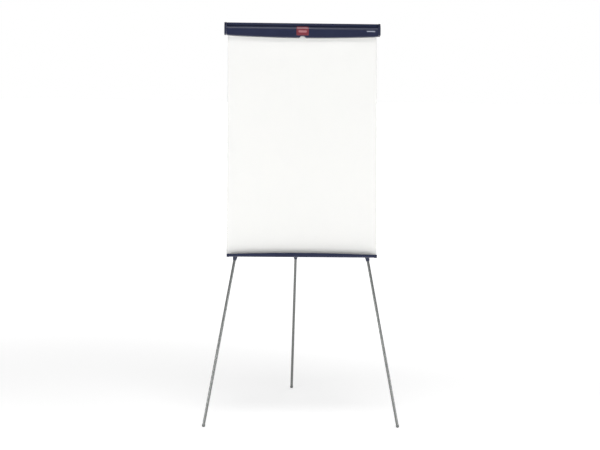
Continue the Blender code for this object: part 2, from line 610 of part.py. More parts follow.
def build_leg(side, frame, axis, length, nose):
    """A leg from its hinge block to its foot, in its own frame."""
    eye, spigot = hinge_block(axis)
    name = "leg_" + side
    block = piece(name + "_hinge_block", eye, NAVY, frame)
    combine(block, "UNION", spigot)
    if axis == "X":
        combine(block, "UNION", box(-0.0085, 0.0085, -0.0100, 0.0100, 0.0010, 0.0340))
        behind = box(-0.05, 0.05, -0.05, BRACKET_BACK + GAP, PIVOT_Z - 0.06, PIVOT_Z + 0.06)
        combine(block, "DIFFERENCE", behind, parent=frame.parent)
    drill(block, [(0, 0)], BORE_RADIUS, -0.012, 0.012, axis)

    tube_end = -nose + TUBE_ABOVE_NOSE
    outer = pipe(OUTER_RADIUS, OUTER_BORE, tube_end, -0.0160)
    piece(name + "_outer_tube", outer, GREY_METAL, frame)

    sleeve = [(0.0108, -nose + 0.0620), (0.0108, -nose + 0.0560), (0.0094, -nose + 0.0555)]
    sleeve += [(0.0094, -nose + 0.0188), (INNER_RADIUS + GAP, -nose + 0.0188)]
    sleeve += [(INNER_RADIUS + GAP, tube_end - GAP), (OUTER_RADIUS + GAP, tube_end - GAP)]
    sleeve += [(OUTER_RADIUS + GAP, -nose + 0.0620)]
    piece(name + "_lock_sleeve", turned(sleeve, closed=True), GREY_PLASTIC, frame)

    collar = [(0.0106, -nose + 0.0550), (0.0112, -nose + 0.0540), (0.0112, -nose + 0.0230)]
    collar += [(0.0106, -nose + 0.0180), (0.0080, -nose + 0.0015), (0.0072, -nose)]
    collar += [(INNER_RADIUS + GAP, -nose), (INNER_RADIUS + GAP, -nose + 0.0184)]
    collar += [(0.0097, -nose + 0.0184), (0.0097, -nose + 0.0550)]
    piece(name + "_lock_collar", turned(collar, closed=True), NAVY, frame)

    top = tube_end + OVERLAP
    low = -length + 0.0056
    piece(name + "_inner_tube", pipe(INNER_RADIUS, INNER_BORE, low, top), GREY_METAL, frame)
    bush = [(0, top + 0.0080), (0.0058, top + 0.0080), (0.0067, top + 0.0068), (0.0067, top + GAP)]
    bush += [(INNER_BORE - GAP, top + GAP), (INNER_BORE - GAP, top - 0.0180), (0, top - 0.0180)]
    piece(name + "_slide_bush", turned(bush), GREY_PLASTIC, frame)
    foot = [(0, 0.0260 - length), (0.0044, 0.0260 - length), (0.0050, 0.0250 - length)]
    foot += [(0.0050, 0.0053 - length), (0.0072, 0.0053 - length)]
    foot += [(x, z - length) for x, z in arc((0, 0), FOOT_RADIUS, 25, -80, 8)] + [(0, -FOOT_RADIUS - length)]
    tip = piece(name + "_foot", turned(foot, steps=20), RUBBER, frame)
    combine(tip, "DIFFERENCE", box(-0.6, 0.6, -0.7, 0.7, -0.05, 0), parent=floor)


SIDES = (("left", -1), ("right", 1))
TRAY_SCREWS = [(-0.200, 0.0095), (0.200, 0.0095)]
HEAD_SCREWS = [(-0.0245, PIVOT_Z), (0.0245, PIVOT_Z), (-0.075, PIVOT_Z), (0.075, PIVOT_Z)]
GUIDE_INNER, GUIDE_OUTER = guide_limits()
GUIDE_MIDDLE = (GUIDE_LOW + GUIDE_HIGH) / 2
GUIDE_SCREWS = [(GUIDE_INNER - GUIDE_SCREW, GUIDE_MIDDLE), (GUIDE_OUTER + GUIDE_SCREW, GUIDE_MIDDLE)]

floor = empty("floor_frame", None, (0, 0, 0))
board_frame = empty("board_frame", None, (0, FRAME_Y, TRAY_HEIGHT), -LEAN)
back_screws = HEAD_SCREWS + [(sign * x, z) for _, sign in SIDES for x, z in GUIDE_SCREWS]
build_board(board_frame, back_screws)
build_rail(board_frame)
build_jaw(board_frame)
build_tray(board_frame)
build_head(board_frame)
build_rest(board_frame)
for side_name, side_sign in SIDES:
    build_spring(side_name, side_sign, board_frame)
    build_hook(side_name, side_sign, board_frame)
    build_guide(side_name, side_sign, board_frame)
    hang = (side_sign * FRONT_X, FRONT_Y, PIVOT_Z)
    leg_frame = empty("leg_frame_" + side_name, board_frame, hang, -side_sign * SPLAY, "Y")
    build_leg(side_name, leg_frame, "Y", FRONT_LENGTH, FRONT_NOSE)
rear_frame = empty("leg_frame_rear", board_frame, (0, REAR_Y, PIVOT_Z), REAR_ANGLE)
build_leg("rear", rear_frame, "X", REAR_LENGTH, REAR_NOSE)
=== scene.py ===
"""Looks of the tripod flipchart easel: fine surfaces, their finishes, the lights and the camera.

A piece is drawn in the frame of what carries it. The board's frame starts at the pen tray's lower
edge, with X to the right seen from the front, Y back through the board and Z up along it; the writing
face is at Y 0. A leg's frame starts at its top pivot, with Z up along the leg. Lengths are in metres.
"""
import json
import math

import bmesh
import bpy
import numpy as np
from mathutils import Matrix, Vector


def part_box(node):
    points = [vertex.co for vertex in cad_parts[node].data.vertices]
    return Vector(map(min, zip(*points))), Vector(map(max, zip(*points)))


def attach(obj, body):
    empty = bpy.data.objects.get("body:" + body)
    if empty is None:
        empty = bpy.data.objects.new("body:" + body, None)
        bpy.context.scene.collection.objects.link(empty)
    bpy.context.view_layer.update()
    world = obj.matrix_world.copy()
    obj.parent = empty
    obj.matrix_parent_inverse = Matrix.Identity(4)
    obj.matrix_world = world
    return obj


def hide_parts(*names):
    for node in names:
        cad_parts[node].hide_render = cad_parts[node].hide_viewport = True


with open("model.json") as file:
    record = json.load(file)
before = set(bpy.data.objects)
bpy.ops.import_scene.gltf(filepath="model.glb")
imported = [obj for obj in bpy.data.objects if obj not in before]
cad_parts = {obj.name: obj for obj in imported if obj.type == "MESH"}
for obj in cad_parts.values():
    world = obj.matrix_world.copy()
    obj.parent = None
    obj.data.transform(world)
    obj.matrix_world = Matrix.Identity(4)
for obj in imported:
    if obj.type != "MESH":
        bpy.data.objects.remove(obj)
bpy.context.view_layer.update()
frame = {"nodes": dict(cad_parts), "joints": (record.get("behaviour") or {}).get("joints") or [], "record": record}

GAP = 0.0003                        # between pieces that touch
HINGE_Y = -0.0120                   # the jaw's hinge rod in the board's frame
HINGE_Z = 1.0400
SHOULDER = 0.0120                   # the jaw's rounded top: how far it stands out from the rod
SHOULDER_DROP = 0.0180              # and how far down it runs to the flat of the face
SHOULDER_LOW = HINGE_Z + SHOULDER - SHOULDER_DROP
JAW_HALF = 0.3420
JAW_WALL = 0.0018
JAW_END = 1.0065                    # the jaw's lower edge at its ends
JAW_SAG = 0.0085                    # how much lower it is at the middle
JAW_FRONT = -0.0225
JAW_ROLL = 0.0030
FLANGE = 0.0140
NOTCH_HALF = 0.0155                 # the finger notch in the jaw's lower edge
NOTCH_RISE = 0.0072
NOTCH_SHOULDER = 0.0095
STRIP_START = 0.0150
STRIP_END = 0.0120                  # short of the jaw's ends
LIP_BAND = 0.0062                   # the jaw's thickened lower edge
LIP_STEP = 0.0002
LIP_ROLL = 0.0020
LUG_X = (-0.3392, -0.100, 0.100, 0.3392)
LUG_HALF = 0.001
GRIP_DEEP = 0.0076                  # the rubber strip inside the lower edge
GRIP_TALL = 0.005
BADGE_LOW = 1.0072
BADGE_HALF_X = 0.0280
BADGE_HALF = 0.0206                 # measured over the shoulder
MARK_X = 0.3100
RAIL_HALF = 0.3424
CLAMP_HALF = 0.3537
CLAMP_TOP = 1.0650
PANEL_RISE = 0.0004                 # of the raised panel on an end cap
TRACK_Z = 1.0230
HOOK_X = 0.2450
HOOK_HALF = 0.007
SPRING_X = 0.300                    # where the coil starts

BOARD_HALF = 0.3375
BOARD_LOW = 0.0035
BOARD_TOP = 1.0550
BOARD_DEPTH = 0.0115
TRIM = 0.0015

TRAY_HALF = 0.3358
TRAY_SHEET_HALF = 0.3245
TRAY_WALL = 0.0015
LIP_END = 0.0125
LIP_RISE = 0.0065
TRAY_SCREW_X = 0.200
TRAY_SCREW_Z = 0.0095

PIVOT_Z = 0.930
REAR_Y = 0.036
FRONT_Y = 0.024
FRONT_X = 0.1306
PLATE_BACK = 0.0143
PLATE = 0.0025
HEAD_SCREW_X = (-0.0245, 0.0245, -0.075, 0.075)
BRACKET_BACK = PLATE_BACK + GAP + PLATE
OUTER_RADIUS = 0.0080
OUTER_BORE = 0.0070
INNER_RADIUS = 0.0063
INNER_BORE = 0.0053
TUBE_ABOVE_NOSE = 0.034
OVERLAP = 0.120
NOSE = {"left": 0.956, "right": 0.956, "rear": 1.070}
FOOT_RADIUS = 0.0075
FOOT_MIDDLE = 0.0063                # its ball's middle above the floor, so that it bears on a flat
BOLT_RADIUS = 0.0030
GUIDE_LOW = 0.085
GUIDE_HIGH = 0.105
GUIDE_WALL = 0.0020
GUIDE_FOOT = 0.0200
GUIDE_SCREW = 0.012                 # from a guide's inner face to its screw
REST_LOW = 0.110
REST_HIGH = 0.140
SIDES = (("left", -1), ("right", 1))
SMOOTH_BELOW = math.radians(38)
WELD = 2e-7

JOINTS = {joint["name"]: joint for joint in frame["joints"]}


def unit(vectors):
    """Each vector divided by its own length."""
    return vectors / np.maximum(np.linalg.norm(vectors, axis=-1, keepdims=True), 1e-12)


class Place:
    """A frame that pieces are drawn in: an origin and three directions."""

    def __init__(self, origin, across, back, up):
        self.origin = np.array(origin, float)
        self.axes = np.array([across, back, up], float)

    def out(self, points):
        """Points of this frame, in the world."""
        return self.origin + points @ self.axes

    def home(self, points):
        """Points of the world, in this frame."""
        return (points - self.origin) @ self.axes.T


RIGHT = np.array((1.0, 0.0, 0.0))
BACK = unit(np.array(JOINTS["leg_right_splay"]["axis"]))
UP = np.cross(RIGHT, BACK)
HINGE = np.array(JOINTS["jaw_open"]["pos_m"])
BOARD = Place(HINGE - HINGE_Y * BACK - HINGE_Z * UP, RIGHT, BACK, UP)


def leg_place(side):
    """The frame of a leg: its pivot, and Z along the axis that its lock collar turns about."""
    up = unit(np.array(JOINTS[f"leg_{side}_twist_lock"]["axis"]))
    if side == "rear":
        return Place(JOINTS["leg_rear_fold"]["pos_m"], RIGHT, np.cross(up, RIGHT), up)
    return Place(JOINTS[f"leg_{side}_splay"]["pos_m"], np.cross(BACK, up), BACK, up)


# Lines and outlines.


def filleted(corners, radii, closed=True, steps=6):
    """A line through corners, each one rounded by an arc.

    An arc starts and ends radius / tan(half the corner's angle) from its corner, and its centre lies
    radius / sin(half the angle) along the bisector. Its spokes turn evenly from the first to the last.
    """
    corners = np.array(corners, float)
    radii = np.maximum(np.broadcast_to(np.array(radii, float), len(corners)), 5e-5)[:, None]
    before = unit(np.roll(corners, 1, 0) - corners)
    after = unit(np.roll(corners, -1, 0) - corners)
    half = np.arccos(np.clip((before * after).sum(1, keepdims=True), -1, 0.9999)) / 2
    reach = radii / np.tan(half)
    centre = corners + unit(before + after) * radii / np.sin(half)
    first = (corners + before * reach - centre)[:, None]
    last = (corners + after * reach - centre)[:, None]
    sweep = np.maximum(math.pi - 2 * half, 1e-4)[:, None]
    t = np.linspace(0, 1, steps)[None, :, None]
    spokes = (np.sin((1 - t) * sweep) * first + np.sin(t * sweep) * last) / np.sin(sweep)
    points = centre[:, None] + spokes
    if closed:
        return points.reshape(-1, 2)
    return np.vstack([corners[:1], points[1:-1].reshape(-1, 2), corners[-1:]])


def arc(centre, radius, start, end, count):
    """Points round a centre, from one angle to another in degrees."""
    turn = np.radians(np.linspace(start, end, count))
    return np.stack([centre[0] + radius * np.cos(turn), centre[1] + radius * np.sin(turn)], 1)


def contour(corners, radii, depth=0.0, steps=6):
    """A rounded outline moved inwards by a depth.

    Each corner moves along the mitre of its two edges' normals, and its radius shrinks by the depth where
    the outline bends outwards and grows by it where the outline bends inwards.
    """
    corners = np.array(corners, float)
    edge = unit(np.roll(corners, -1, 0) - corners)
    last = np.roll(edge, 1, 0)
    normal = np.stack([edge[:, 1], -edge[:, 0]], 1)
    before = np.stack([last[:, 1], -last[:, 0]], 1)
    mitre = (normal + before) / (1 + (normal * before).sum(1, keepdims=True))
    following = np.roll(corners, -1, 0)
    side = np.sign((corners[:, 0] * following[:, 1] - corners[:, 1] * following[:, 0]).sum())
    bend = side * np.sign(last[:, 0] * edge[:, 1] - last[:, 1] * edge[:, 0])
    return filleted(corners - side * depth * mitre, np.array(radii) - bend * depth, steps=steps)


def lifted(flat, level, across):
    """Flat points given their third coordinate, for an outline drawn across that axis."""
    level = np.broadcast_to(level, flat.shape[:-1])
    order = {"X": (level, flat[..., 0], flat[..., 1]), "Y": (flat[..., 0], level, flat[..., 1])}
    return np.stack(order.get(across, (flat[..., 0], flat[..., 1], level)), -1)


# Surfaces: each is (points, faces).


def skin(points, wrap_rows=False, wrap_columns=True, shut=False):
    """A grid of points joined into squares, its first and last rows shut by a face if asked."""
    rows, columns = points.shape[:2]
    index = np.arange(rows * columns).reshape(rows, columns)
    below = np.roll(index, -1, 0)
    squares = np.stack([index, np.roll(index, -1, 1), np.roll(below, -1, 1), below], -1)
    squares = squares[: None if wrap_rows else -1, : None if wrap_columns else -1]
    faces = squares.reshape(-1, 4).tolist()
    if shut:
        faces += [index[0, ::-1].tolist(), index[-1].tolist()]
    return points.reshape(-1, 3), faces


def slab(corners, radii, low, high, across, edge=0.0005, steps=4, round_steps=6):
    """A rounded outline carried from low to high, its edges rounded by a quarter circle.

    At an angle a of the quarter circle the outline is inset by edge x (1 - sin a) and stands
    edge x (1 - cos a) in from its end.
    """
    turn = np.linspace(0, math.pi / 2, steps)
    depth = edge * (1 - np.sin(turn))
    height = edge * (1 - np.cos(turn))
    depths = np.concatenate([depth, depth[::-1]])
    levels = np.concatenate([low + height, (high - height)[::-1]])
    rows = np.stack([contour(corners, radii, d, round_steps) for d in depths])
    return skin(lifted(rows, levels[:, None], across), shut=True)


def turned(profile, axis="Z", centre=(0, 0, 0), steps=48, closed=False, flutes=None, carve=None):
    """A profile of (radius, height) points turned about an axis.

    Flutes (count, depth, low, high) take depth x cos(count x angle)^6 off the radius between two heights.
    Carve gives the depth of a recess at each (x, y) of the end that the profile starts from.
    """
    profile = np.array(profile, float)
    turn = np.linspace(0, 2 * math.pi, steps, endpoint=False)
    height = np.repeat(profile[:, 1:], steps, 1)
    radius = np.repeat(profile[:, :1], steps, 1)
    if flutes:
        count, depth, low, high = flutes
        fade = np.clip(np.minimum(height - low, high - height) / 0.002, 0, 1)
        radius = radius - depth * fade * np.cos(count * turn / 2) ** 6
    x = radius * np.cos(turn)
    y = radius * np.sin(turn)
    if carve:
        half = len(profile) // 2
        height[:half] -= carve(x[:half], y[:half])
    order = {"X": (height, x, y), "Y": (x, height, y), "Z": (x, y, height)}[axis]
    return skin(np.stack(order, -1) + np.array(centre), wrap_rows=closed)


def tube(path, radius, steps=12):
    """A round wire along a path that runs about the X axis, its ends drawn in to a dome."""
    tangent = unit(np.gradient(path, axis=0))
    side = unit(np.cross(tangent, RIGHT))
    other = np.cross(tangent, side)
    turn = np.linspace(0, 2 * math.pi, steps, endpoint=False)[None, :, None]
    size = np.full(len(path), radius)
    size[[0, -1]] = radius * 0.35
    ring = np.cos(turn) * side[:, None] + np.sin(turn) * other[:, None]
    return skin(path[:, None] + ring * size[:, None, None], shut=True)


def joined(*surfaces):
    """Several surfaces as one."""
    points = np.vstack([part[0] for part in surfaces])
    starts = np.cumsum([0] + [len(part[0]) for part in surfaces[:-1]])
    faces = [[i + start for i in face] for part, start in zip(surfaces, starts) for face in part[1]]
    return points, faces


def piece(name, surface, place, material, body, slot, *nodes, floor=False):
    """A finished piece in the world, riding on its body, in place of the nodes that it stands for."""
    points, faces = surface
    points = place.out(points)
    if floor:
        points[:, 2] = np.maximum(points[:, 2], 0)
    mesh = bpy.data.meshes.new(name)
    mesh.from_pydata(points.tolist(), [], faces)
    shape = bmesh.new()
    shape.from_mesh(mesh)
    bmesh.ops.remove_doubles(shape, verts=shape.verts, dist=WELD)
    bmesh.ops.recalc_face_normals(shape, faces=shape.faces)
    shape.to_mesh(mesh)
    shape.free()
    mesh.shade_smooth()
    mesh.set_sharp_from_angle(angle=SMOOTH_BELOW)
    world = np.empty(len(mesh.vertices) * 3, np.float32)
    mesh.vertices.foreach_get("co", world)
    own = mesh.attributes.new("own_place", "FLOAT_VECTOR", "POINT")
    own.data.foreach_set("vector", place.home(world.reshape(-1, 3)).ravel())
    mesh.materials.append(material)
    thing = bpy.data.objects.new(name, mesh)
    bpy.context.scene.collection.objects.link(thing)
    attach(thing, body)
    if nodes:
        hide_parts(*nodes)


# Finishes.


def mix(colour, other, share):
    """A colour part of the way to another."""
    return [a + (b - a) * share for a, b in zip(colour, other)]


class Finish:
    """A Principled material whose patterns read the piece's own place, or the object's for a kept node."""

    def __init__(self, name, colour, roughness, metallic=0.0, coat=0.0, kept=False, specular=0.5):
        self.material = bpy.data.materials.new(name)
        self.material.use_nodes = True
        self.tree = self.material.node_tree
        self.shader = self.tree.nodes["Principled BSDF"]
        self.colour = colour
        self.set("Base Color", (*colour, 1))
        self.set("Roughness", roughness)
        self.set("Metallic", metallic)
        self.set("Specular IOR Level", specular)
        self.set("Coat Weight", coat)
        self.set("Coat Roughness", 0.12)
        self.roughness = roughness
        if kept:
            self.source = self.tree.nodes.new("ShaderNodeTexCoord").outputs["Object"]
        else:
            attribute = self.tree.nodes.new("ShaderNodeAttribute")
            attribute.attribute_name = "own_place"
            self.source = attribute.outputs["Vector"]
        self.tint = None
        self.normal = None

    def set(self, socket, value):
        """A value on the shader's own socket."""
        self.shader.inputs[socket].default_value = value

    def link(self, output, socket):
        """A pattern to a socket."""
        self.tree.links.new(output, socket)

    def noise(self, scale, detail=3.0, rough=0.55, twist=0.0):
        """A noise of so many cells a metre, along X, Y and Z if three are given."""
        mapping = self.tree.nodes.new("ShaderNodeMapping")
        mapping.inputs["Scale"].default_value = np.broadcast_to(np.array(scale, float), 3)
        self.link(self.source, mapping.inputs["Vector"])
        noise = self.tree.nodes.new("ShaderNodeTexNoise")
        noise.inputs["Scale"].default_value = 1.0
        noise.inputs["Detail"].default_value = detail
        noise.inputs["Roughness"].default_value = rough
        noise.inputs["Distortion"].default_value = twist
        self.link(mapping.outputs["Vector"], noise.inputs["Vector"])
        return noise.outputs["Fac"]

    def between(self, value, low, high, to_low=0.0, to_high=1.0):
        """A value's stretch from low to high carried to another stretch."""
        step = self.tree.nodes.new("ShaderNodeMapRange")
        step.inputs["From Min"].default_value = low
        step.inputs["From Max"].default_value = high
        step.inputs["To Min"].default_value = to_low
        step.inputs["To Max"].default_value = to_high
        self.link(value, step.inputs["Value"])
        return step.outputs["Result"]

    def tone(self, share, colour):
        """The colour so far, mixed towards another where the share is high."""
        blend = self.tree.nodes.new("ShaderNodeMix")
        blend.data_type = "RGBA"
        self.link(share, blend.inputs["Factor"])
        if self.tint is None:
            blend.inputs["A"].default_value = (*self.colour, 1)
        else:
            self.link(self.tint, blend.inputs["A"])
        blend.inputs["B"].default_value = (*colour, 1)
        self.tint = blend.outputs["Result"]
        self.link(self.tint, self.shader.inputs["Base Color"])
        return self

    def polish(self, scale, spread, detail=3.0):
        """Roughness that wanders to each side of its value."""
        noise = self.noise(scale, detail)
        wander = self.between(noise, 0.3, 0.7, self.roughness - spread, self.roughness + spread)
        self.link(wander, self.shader.inputs["Roughness"])
        return self

    def bump(self, height, depth, strength=1.0):
        """A relief of that depth in metres."""
        step = self.tree.nodes.new("ShaderNodeBump")
        step.inputs["Distance"].default_value = depth
        step.inputs["Strength"].default_value = strength
        self.link(height, step.inputs["Height"])
        if self.normal:
            self.link(self.normal, step.inputs["Normal"])
        self.normal = step.outputs["Normal"]
        self.link(self.normal, self.shader.inputs["Normal"])
        return self


def lacquer(name, colour, roughness, specular=0.5):
    """Satin stoving lacquer on sheet metal: slight orange peel, a drift of tone and a few dull rubs."""
    paint = Finish(name, colour, roughness, specular=specular)
    paint.tone(paint.between(paint.noise(14, 4), 0.35, 0.7, 0, 0.5), mix(colour, (0.08, 0.10, 0.18), 0.08))
    rubs = paint.between(paint.noise((60, 400, 400), 5, 0.7), 0.66, 0.78, 0, 0.30)
    paint.tone(rubs, mix(colour, (1, 1, 1), 0.04))
    paint.polish(90, 0.03)
    paint.bump(paint.noise(420, 2), 0.00006, 0.5)
    return paint.material


def moulding(name, colour, roughness=0.5, specular=0.5):
    """Moulded plastic with a fine spark-eroded grain."""
    plastic = Finish(name, colour, roughness, specular=specular)
    drift = plastic.between(plastic.noise(25, 3), 0.35, 0.7, 0, 0.6)
    plastic.tone(drift, mix(colour, (0.12, 0.13, 0.18), 0.06))
    plastic.polish(300, 0.07)
    plastic.bump(plastic.noise(2600, 3, 0.65), 0.00005, 0.7)
    plastic.bump(plastic.noise(55, 2), 0.00015, 0.35)
    return plastic.material


def tube_metal():
    """Drawn steel tube with a silver-grey lacquer: faint draw lines along it and specks in the flake."""
    colour = (0.150, 0.156, 0.153)
    metal = Finish("silver_grey_tube", colour, 0.36, metallic=0.55, coat=0.10)
    metal.tone(metal.between(metal.noise((900, 900, 4), 3), 0.35, 0.65, 0, 0.5), (0.185, 0.192, 0.188))
    metal.tone(metal.between(metal.noise(3200, 2), 0.55, 0.75, 0, 0.45), (0.28, 0.285, 0.285))
    metal.tone(metal.between(metal.noise((30, 30, 9), 4), 0.6, 0.8, 0, 0.35), (0.105, 0.108, 0.106))
    metal.polish((700, 700, 6), 0.05)
    metal.bump(metal.noise((1400, 1400, 7), 2), 0.00003, 0.5)
    return metal.material


def zinc():
    """Bright zinc plate: fine crystals and a cool drift of tone."""
    colour = (0.60, 0.61, 0.62)
    metal = Finish("zinc_plate", colour, 0.30, metallic=1.0)
    metal.tone(metal.between(metal.noise(350, 4), 0.35, 0.7, 0, 0.7), (0.50, 0.51, 0.50))
    metal.polish(900, 0.08)
    metal.bump(metal.noise(1600, 3), 0.00004, 0.6)
    return metal.material


def enamel():
    """The white writing enamel: glossy, slightly rippled, with the ghost of old wiping."""
    colour = (0.745, 0.745, 0.730)
    sheet = Finish("writing_enamel", colour, 0.22, coat=0.35, kept=True)
    clouds = sheet.between(sheet.noise((7, 7, 3), 4, 0.6, 1.5), 0.45, 0.75, 0, 0.25)
    sheet.tone(clouds, (0.715, 0.72, 0.712))
    wipes = sheet.between(sheet.noise((3, 40, 26), 5, 0.6, 0.8), 0.6, 0.78, 0, 0.18)
    sheet.tone(wipes, (0.70, 0.71, 0.712))
    sheet.polish((9, 20, 14), 0.05, 4)
    sheet.bump(sheet.noise(160, 2), 0.00005, 0.35)
    return sheet.material


def laminate():
    """The pale grey backing: a pebbled laminate with some handling marks."""
    colour = (0.52, 0.53, 0.535)
    sheet = Finish("backing_laminate", colour, 0.48, kept=True)
    sheet.tone(sheet.between(sheet.noise((5, 5, 4), 5, 0.6, 0.6), 0.4, 0.75, 0, 0.5), (0.46, 0.47, 0.475))
    sheet.tone(sheet.between(sheet.noise(900, 2), 0.5, 0.7, 0, 0.3), (0.60, 0.61, 0.61))
    sheet.polish(40, 0.07)
    sheet.bump(sheet.noise(1100, 3, 0.6), 0.00012, 0.6)
    return sheet.material


def fibreboard():
    """Raw board edge: packed fibres in layers."""
    board = Finish("board_fibre", (0.36, 0.26, 0.16), 0.9, kept=True)
    board.tone(board.between(board.noise((60, 900, 60), 5, 0.7), 0.35, 0.7), (0.22, 0.15, 0.09))
    board.bump(board.noise((200, 1500, 200), 4), 0.0002, 0.8)
    return board.material


def rubber():
    """Dull grey rubber with a fine speckle."""
    colour = (0.15, 0.155, 0.155)
    soft = Finish("grey_rubber", colour, 0.78, specular=0.35)
    soft.tone(soft.between(soft.noise(140, 5), 0.4, 0.75, 0, 0.6), (0.21, 0.215, 0.21))
    soft.polish(500, 0.06)
    soft.bump(soft.noise(1800, 4, 0.7), 0.00009, 0.7)
    return soft.material


def gloss(name, colour, roughness):
    """Glossy badge enamel with a faint ripple."""
    shine = Finish(name, colour, roughness, coat=0.4)
    shine.tone(shine.between(shine.noise(60, 4), 0.4, 0.75, 0, 0.5), mix(colour, (0.10, 0.01, 0.02), 0.3))
    shine.polish(200, 0.06)
    shine.bump(shine.noise(260, 2), 0.00004, 0.5)
    return shine.material


NAVY_METAL = lacquer("navy_lacquer", (0.0048, 0.0085, 0.035), 0.36, 0.42)
NAVY = moulding("navy_moulding", (0.008, 0.012, 0.038), 0.5, 0.35)
GREY_LACQUER = lacquer("grey_lacquer", (0.20, 0.205, 0.21), 0.42)
GREY_PLASTIC = moulding("grey_moulding", (0.10, 0.105, 0.11))
WHITE_TRIM = moulding("white_edge_moulding", (0.78, 0.78, 0.77), 0.38)
TUBE = tube_metal()
ZINC = zinc()
RUBBER = rubber()
RED = gloss("badge_red", (0.155, 0.016, 0.028), 0.36)
PALE_RED = gloss("badge_pale", (0.34, 0.13, 0.145), 0.38)
PALE = gloss("print_pale", (0.27, 0.29, 0.36), 0.40)


# The board and its clamp.


def keep(node, material):
    """A flat sheet of the frame keeps its own solid and gets its finish."""
    frame["nodes"][node].data.materials.clear()
    frame["nodes"][node].data.materials.append(material)


def dress_board():
    """The board's sheets, and the rounded edge trims."""
    keep("writing_sheet", enamel())
    keep("board_core", fibreboard())
    keep("backing_sheet", laminate())
    for side, sign in SIDES:
        near = sign * (BOARD_HALF - TRIM)
        far = sign * BOARD_HALF
        corners = [(near, 0), (far, 0), (far, BOARD_DEPTH), (near, BOARD_DEPTH)]
        band = slab(corners, 0.0005, BOARD_LOW, BOARD_TOP, "Z", 0.0004)
        piece("edge_trim_" + side, band, BOARD, WHITE_TRIM, "board", "white_trim", "side_trim_" + side)
    half = BOARD_HALF - TRIM - GAP
    top = BOARD_LOW + TRIM
    corners = [(0, BOARD_LOW), (BOARD_DEPTH, BOARD_LOW), (BOARD_DEPTH, top), (0, top)]
    band = slab(corners, 0.0005, -half, half, "X", 0.0003)
    piece("edge_trim_bottom", band, BOARD, WHITE_TRIM, "board", "white_trim", "bottom_trim")


def dress_rail():
    """The rail's extrusion, with the hooks' track and a drip groove along its back, and its end caps."""
    front = -0.0033
    neck = front - 0.0020
    head = front - 0.0040
    back = PLATE_BACK
    corners = [
        (-GAP, 1.0135), (front, 1.0135), (front, TRACK_Z - 0.0015), (neck, TRACK_Z - 0.0015),
        (neck, TRACK_Z - 0.0045), (head, TRACK_Z - 0.0045), (head, TRACK_Z + 0.0045),
        (neck, TRACK_Z + 0.0045), (neck, TRACK_Z + 0.0015), (front, TRACK_Z + 0.0015),
        (front, 1.0527), (-0.0130, 1.0527), (-0.0130, CLAMP_TOP), (back, CLAMP_TOP),
        (back, 1.0440), (back - 0.0005, 1.0436), (back - 0.0005, 1.0424), (back, 1.0420),
        (back, 1.0300), (BOARD_DEPTH + GAP, 1.0300), (BOARD_DEPTH + GAP, BOARD_TOP + GAP),
        (-GAP, BOARD_TOP + GAP),
    ]
    radii = np.full(len(corners), 0.0004)
    radii[[12, 13]] = 0.0025
    radii[14:18] = 0.0001
    rail = slab(corners, radii, -RAIL_HALF, RAIL_HALF, "X", 0.0003, round_steps=7)
    piece("rail_extrusion", rail, BOARD, NAVY_METAL, "board", "navy_metal", "clamp_rail")
    corners = [(-0.0135, 1.0658), (0.0150, 1.0658), (0.0150, 1.0110), (-0.0245, 1.0110), (-0.0250, 1.0478)]
    radii = (0.0030, 0.0030, 0.0030, 0.0035, 0.0120)
    panel = [(-0.0110, 1.0605), (0.0098, 1.0605), (0.0098, 1.0162), (-0.0196, 1.0162), (-0.0198, 1.0460)]
    for side, sign in SIDES:
        low, high = sorted((sign * (RAIL_HALF + GAP), sign * CLAMP_HALF))
        cap = slab(corners, radii, low, high, "X", 0.0022, 8, 12)
        low, high = sorted((sign * (CLAMP_HALF - 0.001), sign * (CLAMP_HALF + PANEL_RISE)))
        plate = slab(panel, 0.0020, low, high, "X", PANEL_RISE)
        piece("end_cap_" + side, joined(cap, plate), BOARD, NAVY, "board", "navy_plastic",
              "rail_end_cap_" + side)


def jaw_arch(x):
    """The sweep of the jaw's lower edge: a shallow parabola, lowest in the middle."""
    return JAW_END - JAW_SAG * (1 - (x / JAW_HALF) ** 2)


def jaw_edge(x):
    """The lower edge with the finger notch let into it: it rises as 3t^2 - 2t^3 from each side."""
    t = np.clip((NOTCH_HALF - np.abs(x)) / NOTCH_SHOULDER, 0, 1)
    return jaw_arch(x) + NOTCH_RISE * t * t * (3 - 2 * t)


def jaw_shoulder(turn, rise=0.0):
    """The jaw's rounded top, raised by a distance: (SHOULDER cos t, SHOULDER_DROP sin t)."""
    y = HINGE_Y + (SHOULDER + rise) * np.cos(turn)
    z = SHOULDER_LOW + (SHOULDER_DROP + rise) * np.sin(turn)
    return y, z


def jaw_face(z, edge):
    """Where the jaw's face lies at a height: a straight run from its shoulder to its lower roll."""
    share = (SHOULDER_LOW - z) / (SHOULDER_LOW - edge - JAW_ROLL)
    return HINGE_Y - SHOULDER + (JAW_FRONT - HINGE_Y + SHOULDER) * share


